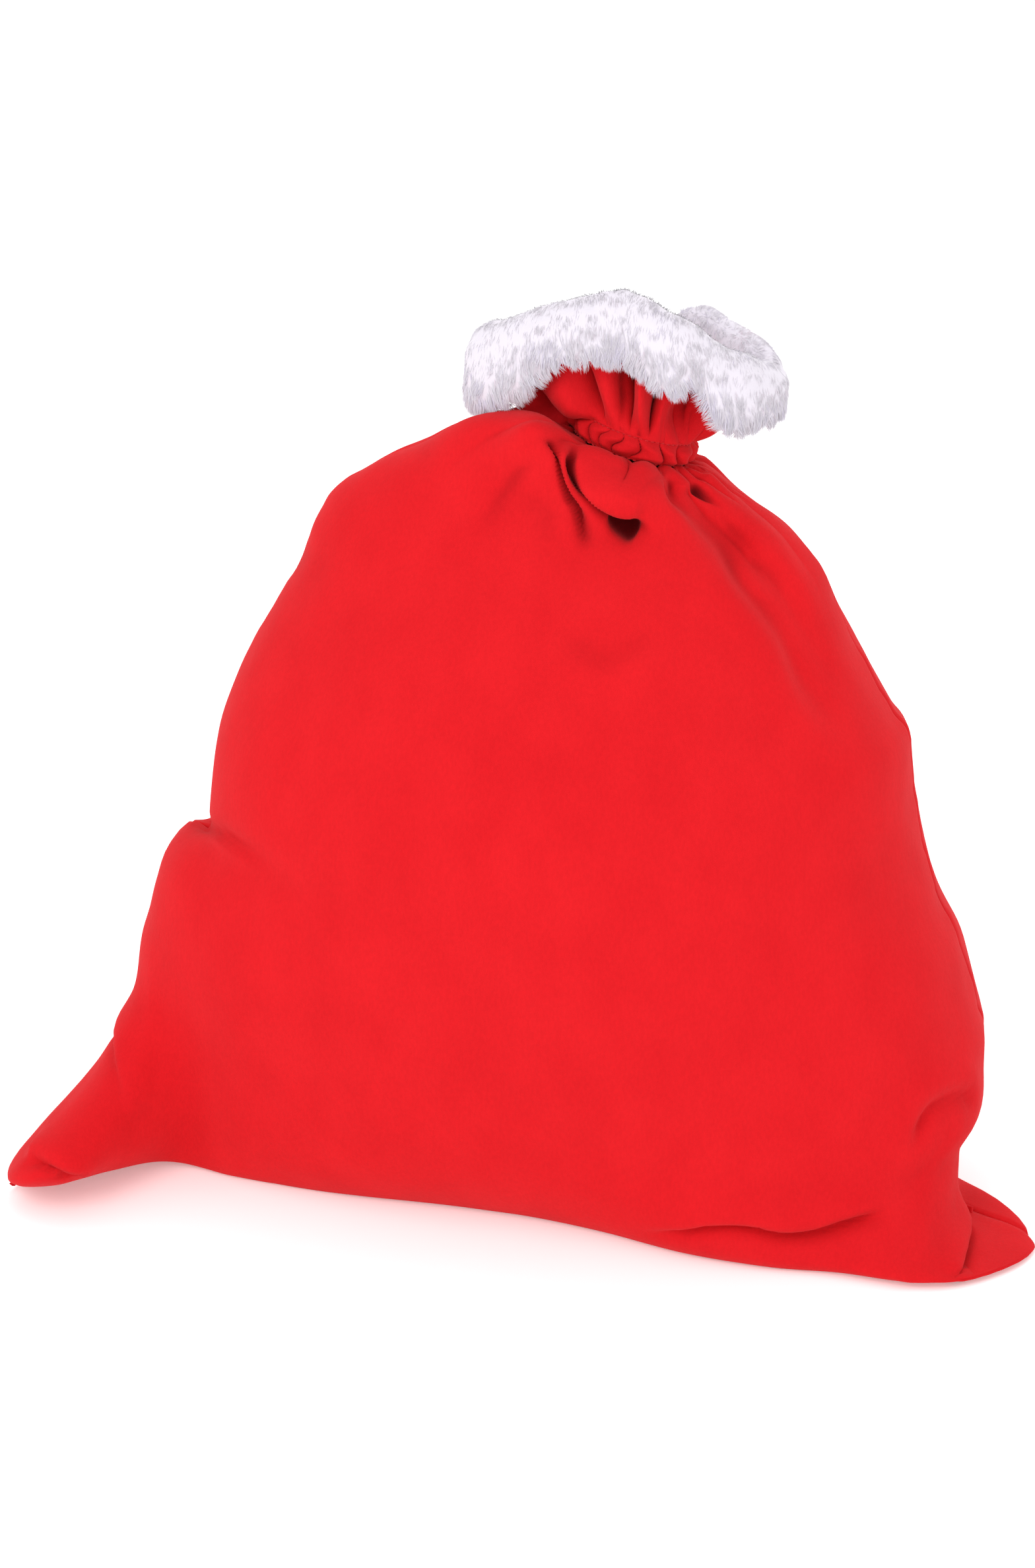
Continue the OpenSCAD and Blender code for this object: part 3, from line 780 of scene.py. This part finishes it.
# the rim, from the neck's hinge: ring angle, x, y and z
RIM = [
    (-90, -97, 0, 72), (-76, -90, -19, 78), (-60, -71, -31, 85), (-46, -54, -37, 93),
    (-28, -31, -47, 101), (-12, -9, -46, 106), (0, 4, -44, 107), (12, 17, -46, 103),
    (30, 36, -47, 94), (44, 49, -42, 86), (58, 63, -37, 75), (72, 77, -26, 67),
    (84, 87, -9, 59), (90, 89, 0, 57), (102, 87, 8, 65), (118, 79, 12, 73), (134, 58, 16, 82),
    (150, 43, 17, 88), (158, 33, 20, 86), (167, 20, 23, 76), (182, -3, 26, 77), (198, -21, 29, 79),
    (216, -45, 29, 78), (232, -61, 24, 77), (248, -80, 20, 75), (260, -92, 11, 73),
    (270, -97, 0, 72)]
flutes = Folds(10, 31, wander=0.55, sharp=0.75)


def rim(angle):
    return NECK + spline(RIM, angle)


RUFFLE_ROWS = 64


def ruffle_shape():
    """The ruffle's outer side, in rows from the upper stitch row to the rim."""
    v = np.linspace(0, 1, RUFFLE_ROWS + 1)[:, None]
    angles = RING[None] + 0 * v
    foot_ring = leaning(RING, ring_radius(RING, UPPER_ROW), UPPER_ROW)[None]
    grid = foot_ring + (rim(RING)[None] - foot_ring) * v[..., None]
    # it sags between the band and the rim, most at the left
    sag = 5 + 27 * bell(RING, LEFT_SEAM, 42) + 27 * bell(RING, LEFT_SEAM + 360, 42)
    sag = sag + 3 * bell(RING, RIGHT_SEAM, 30)
    grid[..., 2] -= sag[None] * np.sin(np.pi * v) ** 0.8
    # the flutes swell above the band and die out under the cuff
    normal = evened(normals(grid), 3)
    sway = angles + 3.0 * np.sin(3 * v + np.radians(RING[None]) * 2)
    swell = 33 * ramp(v, 0.0, 0.34) * (1 - 0.94 * ramp(v, 0.45, 0.8))
    pucker = 1.6 * (gathers(angles) - 0.75) * (1 - ramp(v, 0.0, 0.22))
    fold = swell * (flutes(sway) - 0.74) + pucker
    fold += 2.2 * (folds_near(angles + 5) - 0.7) * bell(v, 0.22, 0.16)
    fold *= ramp(v, 0, 0.04) * (1 - ramp(v, 0.9, 1))
    return grid + normal * fold[..., None]


ruffle = ruffle_shape()
ruffle_inner = ruffle - evened(normals(ruffle), 2) * CLOTH
# painted shade in the ruffle's grooves
ruffle_groove_shade = painted_groove_shade(ruffle, 10, 0.8)
for side, lip, sign, piece in cloth_halves("ruffle", ruffle, ruffle_inner, ruffle_groove_shade):
    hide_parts(f"ruffle_{side}")
    bend_at_lip(piece, lip, sign)
    ruffles[side] = piece

# ---- cuff ----------------------------------------------------------------------------------

# how far the cuff hangs below the rim: ring angle and millimetres
DROP = [
    (-90, 46), (-68, 49), (-46, 43), (-36, 36), (-28, 33), (-16, 37), (-8, 37), (0, 36), (12, 41),
    (32, 41), (40, 32), (44, 30), (50, 39), (58, 48), (75, 39), (84, 32), (90, 29), (104, 33),
    (130, 41), (180, 41), (230, 43), (270, 46)]
# the plush band's section, from the hanging edge up, over the rim, down inside and back under
# itself: outwards from the rim, up in shares of the drop, and up in millimetres
CUFF_SECTION = np.array([
    (7, -1, 0), (13, -1, 1), (15.5, -0.78, 0), (16, -0.5, 0), (14.5, -0.25, 0), (11, 0, -2),
    (5, 0, 4.5), (-1.5, 0, 5), (-7, 0, 1), (-9.5, 0, -8), (-10.5, 0, -20), (-9, 0, -30),
    (-5.5, 0, -31), (-4.2, 0, -14), (-3.6, 0, -3), (-0.8, 0, 1.6), (2.4, 0, -0.2), (4, 0, -8),
    (6, -0.5, 0)])
LAST_PILE_POINT, SEWN_POINT = 13.6, 12.0    # of the section: where the pile ends, and the stitches
CUFF_STEPS, SECTION_STEPS = 200, 76         # along the rim, and round the section
cuff_angles = np.linspace(LEFT_SEAM, RIGHT_SEAM, CUFF_STEPS + 1)


def cuff_section(drop):
    """Outwards and up, round the plush band, for each place along the rim."""
    out, shares, rise = (CUFF_SECTION[:, i:i + 1] for i in range(3))
    return np.stack([out + 0 * drop, shares * drop + rise], axis=-1)


def loop_through(points, steps):
    """A smooth closed loop through rows of points, at equal steps."""
    count = len(points)
    at = np.linspace(0, count, steps, endpoint=False)
    padded = np.concatenate([points[-2:], points, points[:3]])
    flat = padded.reshape(len(padded), -1)
    knots = np.column_stack([np.arange(-2, count + 3), flat])
    return spline(knots, at).reshape(steps, *points.shape[1:])


cuff_noise = Noise(41)


def cuff_surface(sign):
    """Rows round the section and columns along the rim of one half of the plush band."""
    angle = cuff_angles if sign < 0 else 180 - cuff_angles
    top = rim(angle)
    away = unit((top - NECK) * [0.45, 1, 0])
    square = unit(np.cross(np.gradient(top, axis=0) * [1, 1, 0], [0, 0, 1.0]))
    square = square * np.sign((square * away).sum(axis=1))[:, None]
    out = unit(0.4 * away + 0.6 * square)
    drop = spline(DROP, angle)[:, 0]
    section = loop_through(cuff_section(drop), SECTION_STEPS)
    points = top[None] + out[None] * section[..., :1]
    points[..., 2] += section[..., 1]
    centre = points.mean(axis=0, keepdims=True)
    lumps = 1.6 * cuff_noise(points / 17) + 0.8 * cuff_noise(points / 7)
    return points + unit(points - centre) * lumps[..., None]


def closed_sweep(rings):
    """Points and quads of closed loops swept along; quads across the loop close each end."""
    steps, count = rings.shape[:2]
    ids = np.arange(steps * count).reshape(steps, count)
    nxt = np.roll(ids, -1, axis=0)
    quads = np.stack([ids[:, :-1].ravel(), nxt[:, :-1].ravel(), nxt[:, 1:].ravel(),
                      ids[:, 1:].ravel()], axis=1)
    k = np.arange(steps // 2 - 1)
    opposite = steps - 1 - k
    first, last = (np.stack([ids[k, c], ids[k + 1, c], ids[opposite - 1, c], ids[opposite, c]],
                            axis=1) for c in (0, -1))
    return rings.reshape(-1, 3), np.concatenate([quads, first[:, ::-1], last])


plush_rings, plush = {}, {}
for side, lip, sign in SIDES:
    plush_rings[side] = cuff_surface(sign)
    piece = mesh(f"{side}_plush_band", *closed_sweep(plush_rings[side]), PLUSH)
    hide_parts(f"{side}_cuff")
    bend_at_lip(piece, lip, sign)
    plush[side] = [piece]

# ---- pile ----------------------------------------------------------------------------------

HAIRS, TUFTS = 32000, 1050       # on each half of the band
HAIR_LENGTH = 6.2                # on average, away from the hanging edge
LONGER = 0.8                     # how much longer the hairs are at the hanging edge, as a share
TUFT_CELL = (1.9, 1.5)           # millimetres of one step round the section and one along the rim


def sample(field, r, c):
    """A field of the band's rows and columns, read between its points."""
    steps, columns = field.shape[:2]
    r0, c0 = np.floor(r).astype(int), np.minimum(np.floor(c).astype(int), columns - 2)
    fr, fc = (r - r0)[:, None], (c - c0)[:, None]
    a, b = field[r0 % steps, c0], field[(r0 + 1) % steps, c0]
    d, e = field[r0 % steps, c0 + 1], field[(r0 + 1) % steps, c0 + 1]
    return (a * (1 - fr) + b * fr) * (1 - fc) + (d * (1 - fr) + e * fr) * fc


def nearest_tuft(row, col, tuft_row, tuft_col):
    """Which tuft each hair belongs to, worked out in batches to save memory."""
    batch = 4000
    mine = np.empty(len(row), int)
    for i in range(0, len(row), batch):
        part = slice(i, i + batch)
        gap = (((row[part, None] - tuft_row) * TUFT_CELL[0]) ** 2
               + ((col[part, None] - tuft_col) * TUFT_CELL[1]) ** 2)
        mine[part] = gap.argmin(axis=1)
    return mine


def pile(rings, seed):
    """Hairs on one half of the band, longer and in tufts at the hanging edge. Each is a thin
    tapered prism: a triangle at the foot, one halfway up and a point at the tip. Gives their
    points and normals, and which of FUR each is made of."""
    rng = np.random.default_rng(seed)
    steps, columns = rings.shape[:2]
    used = int(steps * LAST_PILE_POINT / len(CUFF_SECTION))
    row, col = rng.uniform(0, used, HAIRS), rng.uniform(0, columns - 1, HAIRS)

    round_step = np.roll(rings, -1, axis=0) - np.roll(rings, 1, axis=0)
    along_step = np.gradient(rings, axis=1)
    outward = unit(np.cross(round_step, along_step))
    if (outward * (rings - rings.mean(axis=0, keepdims=True))).sum() < 0:
        outward = -outward

    def way_of(r, c, out_share, along_share):
        """Down the band outside, up and over the rim, and down again inside."""
        out, along = unit(sample(outward, r, c)), unit(sample(along_step, r, c))
        down = unit(sample(round_step, r, c)) * (2 * ramp(r / used, 0.50, 0.66)[:, None] - 1)
        return unit(down + out * out_share[:, None] + along * along_share[:, None])

    def edge_share(r):
        """1 at the hanging edge, and 0 well above it."""
        return 1 - ramp(r / used, 0.04, 0.34)

    # every hair belongs to the nearest tuft, and leans with it
    tuft_row, tuft_col = rng.uniform(0, used, TUFTS), rng.uniform(0, columns - 1, TUFTS)
    tuft_along, tuft_out = rng.uniform(-0.7, 0.7, TUFTS), rng.uniform(0.05, 0.4, TUFTS)
    tuft_length = rng.uniform(0.85, 1.2, TUFTS)
    mine = nearest_tuft(row, col, tuft_row, tuft_col)
    tuft_reach = HAIR_LENGTH * (1 + LONGER * edge_share(tuft_row) * tuft_length)
    tuft_way = way_of(tuft_row, tuft_col, 0.2 + tuft_out, tuft_along)
    tuft_tip = sample(rings, tuft_row, tuft_col) + tuft_way * tuft_reach[:, None]

    edge = edge_share(row)
    size = (HAIR_LENGTH - 1.0 + 2.0 * rng.random(HAIRS)) * (1 + LONGER * edge * tuft_length[mine])
    loose = 0.25 + 0.75 * edge
    out_share = (0.16 + tuft_out[mine]) * loose + 0.10 * rng.standard_normal(HAIRS)
    along_share = tuft_along[mine] * loose + 0.16 * rng.standard_normal(HAIRS)
    base, out = sample(rings, row, col), unit(sample(outward, row, col))
    way = way_of(row, col, out_share, along_share)

    # the hair's line: rooted under the surface, bent down and in, and drawn to its tuft's tip
    t = np.array([0.0, 0.5, 1.0])
    spine = (base - out * 0.8)[:, None] + way[:, None] * (size[:, None] * t)[..., None]
    bend = np.array([0, 0, -0.14]) - out * 0.14
    spine += bend[:, None] * (size[:, None] * t**2)[..., None]
    pull = (0.12 + 0.33 * edge)[:, None] * (tuft_tip[mine] - spine[:, -1])
    spine += pull[:, None] * (t**1.6)[None, :, None]

    first = unit(np.cross(way, out + 0.01))
    second = np.cross(first, way)
    turn = np.radians([90, 210, 330])[None, :, None]
    ring = first[:, None] * np.cos(turn) + second[:, None] * np.sin(turn)
    width = 0.25 + 0.09 * rng.random(HAIRS)[:, None, None]
    points = np.concatenate([spine[:, :1] + ring * width, spine[:, 1:2] + ring * width * 0.8,
                             spine[:, 2:]], axis=1)
    own = np.concatenate([ring, ring, second[:, None]], axis=1)
    soft = unit(own * 0.3 + out[:, None] + [0, 0, 0.25])
    tint = Noise(seed + 1)(base / 14 + 50) + 0.45 * rng.standard_normal(HAIRS)
    kind = np.where(tint > 0.66 - 0.3 * edge, 1, np.where(tint < -0.85 + 0.3 * edge, 2, 0))
    return points, soft, kind


# a hair's triangles, by its points: three at the foot, three halfway up and the tip
HAIR_FACES = np.array([[0, 4, 1], [0, 3, 4], [1, 5, 2], [1, 4, 5], [2, 3, 0], [2, 5, 3],
                       [3, 6, 4], [4, 6, 5], [5, 6, 3]])
PILE_SEED, PILE_PARTS = 70, 2
for n, (side, lip, sign) in enumerate(SIDES):
    points, soft, kind = pile(plush_rings[side], PILE_SEED + n)
    for part, hairs in enumerate(np.array_split(np.arange(HAIRS), PILE_PARTS)):
        faces = (np.arange(len(hairs)) * points.shape[1])[:, None, None] + HAIR_FACES[None]
        piece = mesh(f"{side}_pile_{part + 1}", points[hairs].reshape(-1, 3), faces.reshape(-1, 3),
                     FUR, np.repeat(kind[hairs], len(HAIR_FACES)), soft[hairs].reshape(-1, 3))
        bend_at_lip(piece, lip, sign)
        plush[side].append(piece)

# ---- the cuff's stitches and the hidden pieces ------------------------------------------------

CUFF_STITCHES, CUFF_THREAD_R = 48, 0.5
sewn_row = int(SECTION_STEPS * SEWN_POINT / len(CUFF_SECTION))
for side, lip, sign in SIDES:
    def seam_line(t, lift, line=plush_rings[side][sewn_row]):
        at = (0.06 + 0.88 * t) * CUFF_STEPS
        i = np.clip(np.floor(at).astype(int), 0, CUFF_STEPS - 1)
        p = line[i] * (1 - (at - i))[:, None] + line[i + 1] * (at - i)[:, None]
        return p + np.array([0, 0, -0.5])
    piece = stitches(f"{side}_cuff_stitches", seam_line, CUFF_STITCHES, CUFF_THREAD_R,
                     f"{side}_cuff_stitching")
    bend_at_lip(piece, lip, sign)
    plush[side].append(piece)

for name, material in (("channel_tape", VELOUR), ("elastic_band", ELASTIC)):
    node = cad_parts[name]
    for slot in node.material_slots:
        slot.material = material

for side, _, _ in SIDES:
    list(plush[side])

# ---- floor, light and camera -----------------------------------------------------------------


def area_light(name, place, aim, size, power):
    data = bpy.data.lights.new(name, "AREA")
    data.shape = "DISK"
    data.size = size
    data.energy = power
    light = bpy.data.objects.new(name, data)
    light.location = place
    light.rotation_euler = (Vector(aim) - Vector(place)).to_track_quat("-Z", "Y").to_euler()
    bpy.context.scene.collection.objects.link(light)


def floor_material():
    material, tree, surface = shader("pale_floor", 0.9)
    surface.inputs["Base Color"].default_value = (0.93, 0.93, 0.93, 1)
    surface.inputs["Emission Color"].default_value = (1, 1, 1, 1)
    surface.inputs["Emission Strength"].default_value = 0.25
    return material


FAR = 60000.0          # the floor's edges, in millimetres
floor = mesh("floor", [(-FAR, -FAR, 0), (FAR, -FAR, 0), (FAR, FAR, 0), (-FAR, FAR, 0)],
             [[0, 1, 2, 3]], floor_material())

# lights and camera are in metres
area_light("key", (-0.9, -2.6, 2.2), (0, 0, 0.3), 1.8, 34)
area_light("fill", (2.2, -1.9, 1.4), (0, 0, 0.25), 2.0, 6)
area_light("rear", (0.4, 2.4, 2.6), (0, 0, 0.3), 2.4, 24)
world = bpy.data.worlds.new("studio")
world.use_nodes = True
background = world.node_tree.nodes["Background"]
background.inputs["Color"].default_value = (1, 1, 1, 1)
background.inputs["Strength"].default_value = 0.98
bpy.context.scene.world = world
bpy.context.scene.view_settings.view_transform = "Standard"

CAMERA_PLACE, CAMERA_AIM = Vector((0.4111, -1.9840, 0.9424)), Vector((0, -0.05, 0.3))
camera_data = bpy.data.cameras.new("camera")
camera_data.lens = 70
camera_data.sensor_width = 36
camera = bpy.data.objects.new("camera", camera_data)
camera.location = CAMERA_PLACE
camera.rotation_euler = (CAMERA_AIM - CAMERA_PLACE).to_track_quat("-Z", "Y").to_euler()
bpy.context.scene.collection.objects.link(camera)
bpy.context.scene.camera = camera
